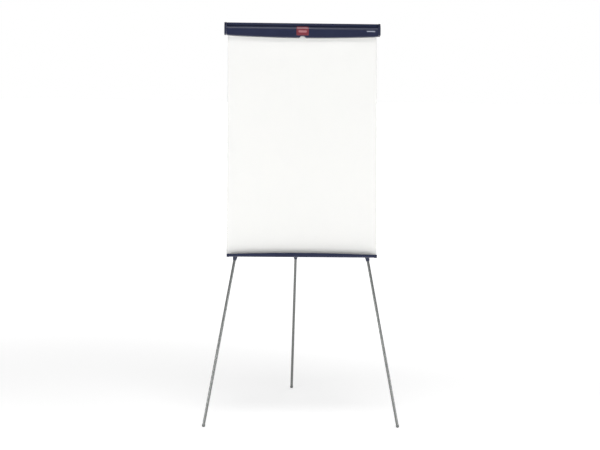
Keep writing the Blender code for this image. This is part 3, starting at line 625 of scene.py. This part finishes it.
def jaw_side(x, depth):
    """Across the jaw at each x, at a depth inside its outer face: shoulder, face, lip, roll and flange."""
    edge = jaw_edge(x)[:, None]
    ones = np.ones_like(edge)
    top_y, top_z = jaw_shoulder(np.radians(np.linspace(84, 180, 20)), -depth)
    drop = SHOULDER_LOW - edge - LIP_BAND
    face_z = SHOULDER_LOW - drop * np.linspace(0.08, 0.97, 8)
    face_y = jaw_face(face_z, edge) + depth
    lip_z = edge + np.array([LIP_BAND, LIP_BAND - 0.0016, LIP_ROLL + 0.0006])
    lip_y = jaw_face(lip_z, edge) + depth - np.array([0.0, LIP_STEP, LIP_STEP])
    turn = np.radians(np.linspace(180, 270, 9))
    roll = LIP_ROLL - depth
    roll_y = JAW_FRONT - LIP_STEP + LIP_ROLL + roll * np.cos(turn) * ones
    roll_z = edge + LIP_ROLL + roll * np.sin(turn)
    end_y = (JAW_FRONT + FLANGE) * ones
    y = np.hstack([top_y * ones, face_y, lip_y, roll_y, end_y])
    z = np.hstack([top_z * ones, face_z, lip_z, roll_z, edge + depth])
    return np.stack([y, z], -1)


def dress_jaw():
    """The jaw: a lofted bar, its lugs on the rod, the rubber grip, the badge and a small printed mark."""
    x = np.unique(np.concatenate([np.linspace(-JAW_HALF, JAW_HALF, 73), np.linspace(-0.020, 0.020, 61)]))
    loop = np.concatenate([jaw_side(x, 0.0), jaw_side(x, JAW_WALL)[:, ::-1]], 1)
    bar = skin(lifted(loop, x[:, None], "X"), shut=True)
    near = 0.0055
    lug = [(HINGE_Y + 0.0005, HINGE_Z + 0.0095), (HINGE_Y - 0.0050, HINGE_Z + 0.0095),
           (HINGE_Y - 0.0111, HINGE_Z - 0.0010), (-0.0218, 1.0115), (-0.0120, 1.0115),
           (HINGE_Y + near, HINGE_Z), (HINGE_Y + near, HINGE_Z + near), (HINGE_Y + 0.0005, HINGE_Z + near)]
    radii = (0.0002, 0.0030, 0.0040, 0.0008, 0.0020, 0.0060, near * 0.85, 0.0002)
    lugs = [slab(lug, radii, at - LUG_HALF, at + LUG_HALF, "X", 0.0002, round_steps=12) for at in LUG_X]
    piece("jaw_bar", joined(bar, *lugs), BOARD, NAVY_METAL, "jaw", "navy_metal", "clamp_jaw")

    back = JAW_FRONT + FLANGE + GAP
    deep = back + GRIP_DEEP
    section = filleted([(back, 0), (deep, 0), (deep, GRIP_TALL), (back, GRIP_TALL)], 0.0008)
    for side, sign in SIDES:
        x = np.linspace(*sorted((sign * STRIP_START, sign * (JAW_HALF - STRIP_END))), 41)
        loop = np.broadcast_to(section, (len(x), *section.shape)).copy()
        loop[..., 1] += jaw_arch(x)[:, None]
        strip = skin(lifted(loop, x[:, None], "X"), shut=True)
        piece("grip_strip_" + side, strip, BOARD, RUBBER, "jaw", "grey_rubber", "jaw_grip_strip_" + side)

    low = run_of(BADGE_LOW)
    tile = rounded(BADGE_HALF_X, BADGE_HALF, 0.0052)
    badge = on_jaw(tile, 0.0, low - BADGE_HALF, 0.0016, 0.0011)
    piece("badge_tile", badge, BOARD, RED, "jaw", "red_plastic", "badge_plate")
    bar = on_jaw(rounded(0.0190, 0.0050, 0.0046), 0.0, low - 0.0178, 0.0021, 0.0003)
    piece("badge_bar", bar, BOARD, PALE_RED, "jaw", "red_plastic")
    mark = on_jaw(rounded(0.0190, 0.0024, 0.0020), MARK_X, low - 0.0215, 0.00022, 0.0001)
    piece("printed_mark", mark, BOARD, PALE, "jaw", "navy_metal")


def rounded(half_x, half_y, radius):
    """A rectangle with round corners, about its middle."""
    corners = [(-half_x, -half_y), (half_x, -half_y), (half_x, half_y), (-half_x, half_y)]
    return filleted(corners, radius, steps=9)


def evenly(outline, count=160):
    """A closed outline with its points spread evenly along it."""
    ring = np.vstack([outline, outline[:1]])
    reach = np.append(0, np.cumsum(np.hypot(*np.diff(ring, axis=0).T)))
    at = np.linspace(0, reach[-1], count, endpoint=False)
    return np.stack([np.interp(at, reach, ring[:, 0]), np.interp(at, reach, ring[:, 1])], 1)


def shoulder_run():
    """The shoulder's angles and, by summing its chords, the distance from its top to each."""
    turn = np.linspace(math.pi / 2, math.pi, 200)
    chords = np.hypot(*np.diff(jaw_shoulder(turn), axis=1))
    return turn, np.append(0, np.cumsum(chords))


def run_of(z):
    """The distance over the jaw's shoulder and down its face to a height below the shoulder."""
    return shoulder_run()[1][-1] + SHOULDER_LOW - z


def on_jaw(outline, x, run, height, rim):
    """A low tile that follows the jaw's face.

    Its rings are the outline shrunk to its middle. Each point is laid on the face at its own distance
    over the shoulder, and raised by the height, less a rim that falls away as a quarter circle.
    """
    share = np.concatenate([np.linspace(0, 0.90, 14), 1 - 0.10 * np.cos(np.linspace(0.2, math.pi / 2, 7))])
    rise = height - rim * (1 - np.sqrt(np.clip(1 - ((share - 0.90) / 0.10).clip(0, 1) ** 2, 0, 1)))
    share = np.append(share, [1.0, 0.0])
    rise = np.append(rise, [-0.0004, -0.0004])
    flat = share[:, None, None] * evenly(outline)
    along = run - flat[..., 1]
    turns, lengths = shoulder_run()
    y, z = jaw_shoulder(np.interp(along, lengths, turns), rise[:, None])
    down = np.maximum(along - lengths[-1], 0)
    slope = (JAW_FRONT - HINGE_Y + SHOULDER) / (SHOULDER_LOW - JAW_END + JAW_SAG - JAW_ROLL)
    return skin(np.stack([x + flat[..., 0], y + slope * down, z - down], -1))


def dress_spring(side, sign):
    """A torsion spring: a helix about the rod, its two ends drawn out straight to the rail and the jaw."""
    turns, pitch, radius = 4.5, 0.0017, 0.0042
    t = np.linspace(0, turns, 150)
    angle = math.pi - 2 * math.pi * t
    coil_y = HINGE_Y + radius * np.cos(angle)
    coil = np.stack([SPRING_X + pitch * t, coil_y, HINGE_Z - radius * np.sin(angle)], 1)
    first = np.linspace((SPRING_X, HINGE_Y - 0.0070, HINGE_Z - 0.0120), coil[0], 10)[:-1]
    last = np.linspace(coil[-1], (coil[-1, 0], HINGE_Y + 0.0068, HINGE_Z - 0.0095), 10)[1:]
    path = np.vstack([first, coil, last]) * (sign, 1, 1)
    wire = tube(path, 0.0006, 10)
    piece("torsion_spring_" + side, wire, BOARD, ZINC, "board", "zinc", "jaw_spring_" + side)


def dress_hook(side, sign):
    """A pad hook: a block that wraps the track, its edges eased, and a peg with a mushroom end."""
    neck = -0.0053
    head = -0.0073
    corners = [
        (neck + 0.0015, TRACK_Z - 0.0070), (head - 0.0032, TRACK_Z - 0.0070),
        (head - 0.0032, TRACK_Z + 0.0070), (neck + 0.0015, TRACK_Z + 0.0070),
        (neck + 0.0015, TRACK_Z + 0.0018), (neck + GAP, TRACK_Z + 0.0018),
        (neck + GAP, TRACK_Z + 0.0048), (head - GAP, TRACK_Z + 0.0048),
        (head - GAP, TRACK_Z - 0.0048), (neck + GAP, TRACK_Z - 0.0048),
        (neck + GAP, TRACK_Z - 0.0018), (neck + 0.0015, TRACK_Z - 0.0018),
    ]
    radii = (0.0004, 0.0018, 0.0018, 0.0004, *[0.0001] * 8)
    middle = sign * HOOK_X
    block = slab(corners, radii, middle - HOOK_HALF, middle + HOOK_HALF, "X", 0.0006)
    profile = filleted([(0, -0.0192), (0.0038, -0.0192), (0.0038, -0.0174), (0.0030, -0.0165),
                        (0.0030, -0.0100), (0, -0.0100)],
                       (0, 0.0009, 0.0004, 0.0006, 0.0002, 0), closed=False)
    peg = turned(profile, "Y", (middle, 0, TRACK_Z), 28)
    piece("hook_" + side, joined(block, peg), BOARD, NAVY, "hook_" + side, "navy_plastic",
          "pad_hook_" + side)


# The pen tray.


def dress_tray():
    """The tray: one folded strip with a rolled edge, its lip higher in the middle, and its end caps."""
    wall = TRAY_WALL
    corners = [(-GAP, 0.0145), (-GAP, 0.0029), (-0.0399, -0.0003), (-0.0410, LIP_END),
               (-0.0410 + wall, LIP_END), (-0.0399 + wall, 0.0013), (-GAP - wall, 0.0044),
               (-GAP - wall, 0.0145)]
    radii = (0.0004, 0.0016, 0.0062, 0.0007, 0.0007, 0.0047, 0.0010, 0.0004)
    section = filleted(corners, radii, steps=10)
    x = np.linspace(-TRAY_SHEET_HALF, TRAY_SHEET_HALF, 61)
    loop = np.broadcast_to(section, (len(x), *section.shape)).copy()
    foot = 0.0070
    share = np.where(section[:, 0] < -0.030, np.clip((section[:, 1] - foot) / (LIP_END - foot), 0, 1), 0)
    rise = LIP_RISE * (1 - (x / TRAY_SHEET_HALF) ** 2)
    loop[..., 1] += share * rise[:, None]
    strip = skin(lifted(loop, x[:, None], "X"), shut=True)
    piece("tray_channel", strip, BOARD, NAVY_METAL, "board", "navy_metal", "pen_tray")
    corners = [(-GAP, 0.0150), (-GAP, 0.0016), (-0.0410, -0.0013), (-0.0417, 0.0134), (-0.0150, 0.0134)]
    radii = (0.0006, 0.0014, 0.0060, 0.0012, 0.0100)
    for side, sign in SIDES:
        low, high = sorted((sign * (TRAY_SHEET_HALF + GAP), sign * TRAY_HALF))
        cap = slab(corners, radii, low, high, "X", 0.0013, 6, 10)
        piece("tray_cap_" + side, cap, BOARD, NAVY, "board", "navy_plastic", "tray_end_cap_" + side)


# Fasteners.


def cross_recess(half, wide, deep):
    """The depth of a cross-head recess at (x, y): two slots that meet, their floors rising to the ends."""
    def depth(x, y):
        reach = np.maximum(np.abs(x), np.abs(y))
        across = np.minimum(np.abs(x), np.abs(y))
        wall = 1 / (1 + np.exp((across - wide) / (0.12 * wide)))
        return deep * wall * np.clip(1.15 - reach / half, 0, 1)
    return depth


def hex_socket(half, deep):
    """The depth of a hexagonal socket at (x, y)."""
    def depth(x, y):
        turns = np.radians([0, 60, 120])
        reach = np.abs(x[..., None] * np.cos(turns) + y[..., None] * np.sin(turns)).max(-1)
        return deep / (1 + np.exp((reach - half) / (0.05 * half)))
    return depth


def screw(place_x, place_z, seat, towards, radius, tall, shank, end, carve):
    """A domed head on a face at Y, standing out towards one side, and its shank."""
    face = np.linspace(0, 1, 22)
    dome = np.stack([radius * 0.93 * face, tall * (1 - 0.30 * face ** 2)], 1)
    edge = filleted([dome[-1], (radius, 0.55 * tall), (radius, 0), (shank, 0), (shank, -abs(end - seat)),
                     (0, -abs(end - seat))], (0, 0.3 * tall, 0.0001, 0.0001, 0.0002, 0), False)
    points, faces = turned(np.vstack([dome, edge[1:]]), "Y", steps=40, carve=carve)
    points = points * (1, towards, 1) + (place_x, seat, place_z)
    return points, faces


def dress_fasteners():
    """Cross-head screws behind the board and in the tray, and the front legs' socket-head pivot bolts."""
    spots = {f"head_screw_{i + 1}": (x, PIVOT_Z, BRACKET_BACK if i < 2 else PLATE_BACK)
             for i, x in enumerate(HEAD_SCREW_X)}
    for side, sign in SIDES:
        folded, splayed = guide_limits(side)
        height = (GUIDE_LOW + GUIDE_HIGH) / 2
        face = BOARD_DEPTH + GAP + GUIDE_WALL
        spots[f"guide_screw_{side}_inner"] = (sign * (folded - GUIDE_SCREW), height, face)
        spots[f"guide_screw_{side}_outer"] = (sign * (splayed + GUIDE_SCREW), height, face)
    for node, (x, z, face) in spots.items():
        solid = screw(x, z, face + GAP, 1, 0.0040, 0.0022, 0.0020, 0.0030,
                      cross_recess(0.0026, 0.00042, 0.0013))
        piece(node.replace("screw", "pan_screw"), solid, BOARD, ZINC, "board", "zinc", node)
    for side, sign in SIDES:
        solid = screw(sign * TRAY_SCREW_X, TRAY_SCREW_Z, -2 * GAP - TRAY_WALL, -1, 0.0034, 0.0020,
                      0.0020, 0.0080, cross_recess(0.0022, 0.00038, 0.0012))
        piece("tray_pan_screw_" + side, solid, BOARD, ZINC, "board", "zinc", "tray_screw_" + side)
        solid = screw(sign * FRONT_X, PIVOT_Z, FRONT_Y + 0.0093, 1, 0.0064, 0.0036, BOLT_RADIUS,
                      BOARD_DEPTH + 2 * GAP, hex_socket(0.0019, 0.0020))
        piece("hinge_bolt_" + side, solid, BOARD, ZINC, "board", "zinc", "pivot_bolt_" + side)
    end = 0.0118
    profile = filleted([(0, end + 0.0022), (0.0048, end + 0.0022), (0.0048, end), (BOLT_RADIUS, end),
                        (BOLT_RADIUS, -end), (0.0040, -end), (0.0040, -end - 0.0018), (0, -end - 0.0018)],
                       (0, 0.0014, 0.0002, 0.0001, 0.0001, 0.0002, 0.0012, 0), closed=False)
    pin = turned(profile, "X", (0, REAR_Y, PIVOT_Z), 36)
    piece("clevis_pin", pin, BOARD, ZINC, "board", "zinc", "rear_hinge_pin")
    end = RAIL_HALF + 0.0060
    profile = filleted([(0, end), (0.0025, end), (0.0025, -end), (0, -end)], (0, 0.0006, 0.0006, 0),
                       closed=False)
    rod = turned(profile, "X", (0, HINGE_Y, HINGE_Z), 28)
    piece("jaw_rod", rod, BOARD, ZINC, "board", "zinc", "hinge_rod")


# The fittings behind the board.


def dress_head():
    """The head plate with eased edges, and the rear leg's folded bracket with a fillet at each fold."""
    corners = [(-0.160, 0.890), (0.160, 0.890), (0.160, 0.970), (-0.160, 0.970)]
    plate = slab(corners, 0.012, PLATE_BACK - PLATE, PLATE_BACK, "Y", 0.0006, round_steps=12)
    piece("leg_plate", plate, BOARD, GREY_LACQUER, "board", "grey_lacquer", "head_plate")
    corners = [(-0.034, 0.906), (0.034, 0.906), (0.034, 0.962), (-0.034, 0.962)]
    base = slab(corners, 0.006, PLATE_BACK + GAP, BRACKET_BACK, "Y", 0.0006, round_steps=10)
    sunk = BRACKET_BACK - 0.0012
    ear = [(sunk, PIVOT_Z - 0.019), (sunk, PIVOT_Z + 0.019),
           (REAR_Y + 0.0095, PIVOT_Z + 0.0094), (REAR_Y + 0.0095, PIVOT_Z - 0.0094)]
    ears = [slab(ear, (0.0002, 0.0002, 0.0088, 0.0088), low, low + PLATE, "X", 0.0005, round_steps=12)
            for low in (-0.0115, 0.0090)]
    bends = [slab([(s * 0.0112, sunk), (s * 0.0145, BRACKET_BACK - 0.0002),
                   (s * 0.0112, BRACKET_BACK + 0.0030)],
                  0.0001, PIVOT_Z - 0.018, PIVOT_Z + 0.018, "Z", 0.0003) for s in (-1, 1)]
    piece("clevis_bracket", joined(base, *ears, *bends), BOARD, GREY_LACQUER, "board", "grey_lacquer",
          "rear_hinge_bracket")


def dress_guide(side, sign):
    """A leg guide: a steel strap folded with round bends."""
    folded, splayed = guide_limits(side)
    low_x = folded - GUIDE_FOOT - GUIDE_WALL
    high_x = splayed + GUIDE_FOOT + GUIDE_WALL
    near = BOARD_DEPTH + GAP
    inside = FRONT_Y + OUTER_RADIUS + 0.0005
    outer = near + GUIDE_WALL
    corners = [
        (low_x, near), (folded, near), (folded, inside), (splayed, inside), (splayed, near), (high_x, near),
        (high_x, outer), (splayed + GUIDE_WALL, outer), (splayed + GUIDE_WALL, inside + GUIDE_WALL),
        (folded - GUIDE_WALL, inside + GUIDE_WALL), (folded - GUIDE_WALL, outer), (low_x, outer),
    ]
    radii = (0.0006, 0.0030, 0.0012, 0.0012, 0.0030, 0.0006, 0.0006, 0.0010, 0.0032, 0.0032, 0.0010, 0.0006)
    strap = slab(np.array(corners) * (sign, 1), radii, GUIDE_LOW, GUIDE_HIGH, "Z", 0.0005, round_steps=8)
    piece("guide_strap_" + side, strap, BOARD, GREY_LACQUER, "board", "grey_lacquer", "leg_guide_" + side)


def guide_limits(side):
    """Where a guide's inner faces stand: inside the flat feet of the frame's own strap."""
    near, far = sorted(abs(corner.x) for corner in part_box("leg_guide_" + side))
    return near + GUIDE_FOOT + GUIDE_WALL, far - GUIDE_FOOT - GUIDE_WALL


def dress_rest():
    """The cradle for the folded rear leg: a U with eased mouth and edges."""
    bore = OUTER_RADIUS + GAP
    wall = 0.0115
    top = REAR_Y + 0.004
    lip = 0.48 * (wall - bore)
    corners = [(-wall, top), (-wall, BOARD_DEPTH + GAP), (wall, BOARD_DEPTH + GAP), (wall, top),
               (bore, top), (bore, REAR_Y - bore), (-bore, REAR_Y - bore), (-bore, top)]
    radii = (lip, 0.0015, 0.0015, lip, lip, bore * 0.95, bore * 0.95, lip)
    cradle = slab(corners, radii, REST_LOW, REST_HIGH, "Z", 0.0009, 5, 12)
    piece("leg_cradle", cradle, BOARD, NAVY, "board", "navy_plastic", "rear_leg_rest")


# The legs.


def dress_leg(side):
    """One leg: hinge block, outer tube, lock sleeve and fluted collar, inner tube, bush and foot."""
    place = leg_place(side)
    name = "leg_" + side
    upper, collar, lower = name + "_upper", name + "_collar", name + "_lower"
    axis, depth = ("X", 0.0087) if side == "rear" else ("Y", 0.0088)
    nose = -NOSE[side]
    eye = filleted([(0.0033, depth - 0.0006), (0.0056, depth), (0.0125, depth), (0.0125, -depth),
                    (0.0056, -depth), (0.0033, -depth + 0.0006)],
                   (0.0001, 0.0004, 0.0016, 0.0016, 0.0004, 0.0001), closed=True)
    neck = filleted([(0, 0), (OUTER_RADIUS, 0), (OUTER_RADIUS, -0.0157), (OUTER_BORE - GAP, -0.0157),
                     (OUTER_BORE - GAP, -0.0560), (0, -0.0560)],
                    (0, 0.001, 0.0006, 0.0001, 0.001, 0), closed=False)
    parts = [turned(eye, axis, closed=True), turned(neck, steps=36)]
    if side == "rear":
        parts.append(rear_heel())
    piece(name + "_hinge", joined(*parts), place, NAVY, upper, "navy_plastic", name + "_hinge_block")

    end = nose + TUBE_ABOVE_NOSE
    outer = filleted([(OUTER_RADIUS, -0.0160), (OUTER_RADIUS, end), (OUTER_BORE, end),
                      (OUTER_BORE, -0.0160)], 0.0004)
    piece(name + "_upper_tube", turned(outer, closed=True, steps=56), place, TUBE, upper, "grey_tube",
          name + "_outer_tube")
    grip = INNER_RADIUS + GAP
    sleeve = filleted([(0.0108, nose + 0.0620), (0.0108, nose + 0.0560), (0.0094, nose + 0.0553),
                       (0.0094, nose + 0.0188), (grip, nose + 0.0188), (grip, end - GAP),
                       (OUTER_RADIUS + GAP, end - GAP), (OUTER_RADIUS + GAP, nose + 0.0620)],
                      (0.0012, 0.0006, 0.0002, 0.0004, 0.0002, 0.0002, 0.0002, 0.0006))
    piece(name + "_collet", turned(sleeve, closed=True, steps=56), place, GREY_PLASTIC, upper,
          "grey_plastic", name + "_lock_sleeve")
    waist = np.linspace(nose + 0.0520, nose + 0.0240, 12)
    barrel = np.stack([0.0112 + 0 * waist, waist], 1)
    crown = filleted([(0.0097, nose + 0.0550), (0.0112, nose + 0.0550), (0.0112, nose + 0.0520)],
                     (0, 0.0012, 0), closed=False)
    taper = filleted([(0.0112, nose + 0.0240), (0.0112, nose + 0.0205), (0.0102, nose + 0.0165),
                      (0.0080, nose + 0.0012), (0.0072, nose), (grip, nose), (grip, nose + 0.0184),
                      (0.0097, nose + 0.0184)],
                     (0, 0.003, 0.004, 0.0008, 0.0003, 0.0002, 0.0002, 0), closed=False)
    ring = np.vstack([crown[:-1], barrel, taper[1:]])
    fluted = turned(ring, closed=True, steps=144, flutes=(18, 0.0008, nose + 0.0225, nose + 0.0530))
    piece(name + "_twist_collar", fluted, place, NAVY, collar, "navy_plastic", name + "_lock_collar")

    foot_low = -np.linalg.norm(foot_centre(side) - place.origin)
    top = end + OVERLAP
    low = foot_low + 0.0056
    inner = filleted([(INNER_RADIUS, top), (INNER_RADIUS, low), (INNER_BORE, low), (INNER_BORE, top)],
                     (0.0004, 0.0003, 0.0003, 0.0004))
    piece(name + "_lower_tube", turned(inner, closed=True, steps=56), place, TUBE, lower, "grey_tube",
          name + "_inner_tube")
    bush = filleted([(0, top + 0.0080), (0.0067, top + 0.0080), (0.0067, top + GAP),
                     (INNER_BORE - GAP, top + GAP), (INNER_BORE - GAP, top - 0.0180), (0, top - 0.0180)],
                    (0, 0.0012, 0.0002, 0.0001, 0.0006, 0), closed=False)
    piece(name + "_tube_bush", turned(bush, steps=36), place, GREY_PLASTIC, lower, "grey_plastic",
          name + "_slide_bush")
    plug = filleted([(0, 0.0260), (0.0050, 0.0260), (0.0050, 0.0053), (0.0073, 0.0053)],
                    (0, 0.0006, 0.0001, 0), closed=False)
    groove = 0.00025 * np.cos(np.linspace(0, 4 * math.pi, 25))
    wall = np.stack([0.0073 + groove - 0.00025, np.linspace(0.0050, 0.0008, 25)], 1)
    ball = arc((0, 0), FOOT_RADIUS, 0, -90, 22)
    profile = np.vstack([plug, wall, ball]) + (0, foot_low)
    piece(name + "_rubber_foot", turned(profile, steps=56), place, RUBBER, lower, "grey_rubber",
          name + "_foot", floor=True)


def foot_centre(side):
    """The middle of a foot's ball: straight above the spot that it rests on."""
    mount = next(m for m in frame["record"]["mounts"] if m["name"] == "foot_" + side)
    return np.array(mount["pos_m"]) + (0, 0, FOOT_MIDDLE)


def rear_heel():
    """The rear leg's stop, in the leg's frame: a round-edged block cut back to the bracket's face."""
    outline = rounded(0.0085, 0.0100, 0.0012)
    levels = np.linspace(0.001, 0.0340, 30)
    rows = np.broadcast_to(outline, (len(levels), *outline.shape))
    points = lifted(rows, levels[:, None], "Z")
    place = leg_place("rear")
    inside = BOARD.home(place.out(points))
    inside[..., 1] = np.maximum(inside[..., 1], BRACKET_BACK + GAP)
    return skin(place.home(BOARD.out(inside)), shut=True)


# Floor, light and camera.


def stage():
    """A pale floor that runs into the room, and glows more where the softboxes don't reach."""
    mesh = bpy.data.meshes.new("floor")
    size = 60
    corners = [(-size, -size, 0), (size, -size, 0), (size, size, 0), (-size, size, 0)]
    mesh.from_pydata(corners, [], [(0, 1, 2, 3)])
    floor = bpy.data.objects.new("floor", mesh)
    bpy.context.scene.collection.objects.link(floor)
    paint = bpy.data.materials.new("pale_floor")
    paint.use_nodes = True
    shader = paint.node_tree.nodes["Principled BSDF"]
    shader.inputs["Base Color"].default_value = (0.93, 0.93, 0.93, 1)
    shader.inputs["Roughness"].default_value = 0.9
    shader.inputs["Specular IOR Level"].default_value = 0.1
    shader.inputs["Emission Color"].default_value = (1, 1, 1, 1)
    tree = paint.node_tree
    reach = tree.nodes.new("ShaderNodeVectorMath")
    reach.operation = "LENGTH"
    tree.links.new(tree.nodes.new("ShaderNodeTexCoord").outputs["Object"], reach.inputs[0])
    glow = tree.nodes.new("ShaderNodeMapRange")
    glow.interpolation_type = "SMOOTHERSTEP"
    glow.inputs["From Min"].default_value = 0.5
    glow.inputs["From Max"].default_value = 6.0
    glow.inputs["To Min"].default_value = 0.56
    glow.inputs["To Max"].default_value = 0.98
    tree.links.new(reach.outputs["Value"], glow.inputs["Value"])
    tree.links.new(glow.outputs["Result"], shader.inputs["Emission Strength"])
    mesh.materials.append(paint)


def white_room():
    """A room that is white behind the easel, a little dimmer in front of it and dark overhead."""
    world = bpy.data.worlds.new("white_room")
    world.use_nodes = True
    tree = world.node_tree
    split = tree.nodes.new("ShaderNodeSeparateXYZ")
    tree.links.new(tree.nodes.new("ShaderNodeTexCoord").outputs["Generated"], split.inputs["Vector"])
    product = tree.nodes.new("ShaderNodeMath")
    product.operation = "MULTIPLY"
    fades = (("Y", -0.6, 0.5, 0.56, 1.0), ("Z", 0.08, 0.42, 1.0, 0.2))
    for i, (axis, low, high, at_low, at_high) in enumerate(fades):
        step = tree.nodes.new("ShaderNodeMapRange")
        step.inputs["From Min"].default_value = low
        step.inputs["From Max"].default_value = high
        step.inputs["To Min"].default_value = at_low
        step.inputs["To Max"].default_value = at_high
        tree.links.new(split.outputs[axis], step.inputs["Value"])
        tree.links.new(step.outputs["Result"], product.inputs[i])
    tree.links.new(product.outputs["Value"], tree.nodes["Background"].inputs["Strength"])
    tree.nodes["Background"].inputs["Color"].default_value = (1, 1, 1, 1)
    bpy.context.scene.world = world


def softbox(name, place, target, width, height, power):
    """A soft rectangular light that faces a point."""
    data = bpy.data.lights.new(name, "AREA")
    data.shape = "RECTANGLE"
    data.size = width
    data.size_y = height
    data.energy = power
    lamp = bpy.data.objects.new(name, data)
    bpy.context.scene.collection.objects.link(lamp)
    lamp.location = place
    lamp.rotation_euler = (Vector(target) - lamp.location).to_track_quat("-Z", "Y").to_euler()


def lights():
    """A key above for the line along the jaw's shoulder, a low box each side and a light behind."""
    softbox("key", (0, -2.0, 3.8), (0, -0.3, 1.76), 1.5, 1.2, 30)
    softbox("left_box", (-2.2, -2.4, 0.4), (0, 0, 0.9), 1.2, 1.2, 48)
    softbox("right_box", (2.2, -2.4, 0.4), (0, 0, 0.9), 1.2, 1.2, 45)
    softbox("back_box", (1.6, 3.2, 1.3), (0, 0, 1.0), 2.0, 1.2, 20)


def camera():
    """The camera, by its place and its turn, pitch and roll."""
    yaw, pitch, roll = (math.radians(angle) for angle in (-2.5186, 4.8714, 0.6787))
    ahead = np.array((-math.sin(yaw) * math.cos(pitch), math.cos(yaw) * math.cos(pitch), -math.sin(pitch)))
    across = np.array((math.cos(yaw), math.sin(yaw), 0))
    up = np.cross(across, ahead)
    right = math.cos(roll) * across + math.sin(roll) * up
    top = math.cos(roll) * up - math.sin(roll) * across
    data = bpy.data.cameras.new("camera")
    data.lens = 120
    data.sensor_width = 36
    data.clip_end = 200
    view = bpy.data.objects.new("camera", data)
    bpy.context.scene.collection.objects.link(view)
    turn = Matrix(np.stack([right, top, -ahead], 1).tolist()).to_4x4()
    view.matrix_world = Matrix.Translation((-0.4008, -9.3268, 1.6563)) @ turn
    bpy.context.scene.camera = view
    bpy.context.scene.view_settings.view_transform = "Standard"


dress_board()
dress_rail()
dress_jaw()
dress_tray()
dress_fasteners()
dress_head()
dress_rest()
for side_name, side_sign in SIDES:
    dress_spring(side_name, side_sign)
    dress_hook(side_name, side_sign)
    dress_guide(side_name, side_sign)
for leg_name in ("left", "right", "rear"):
    dress_leg(leg_name)
stage()
white_room()
lights()
camera()
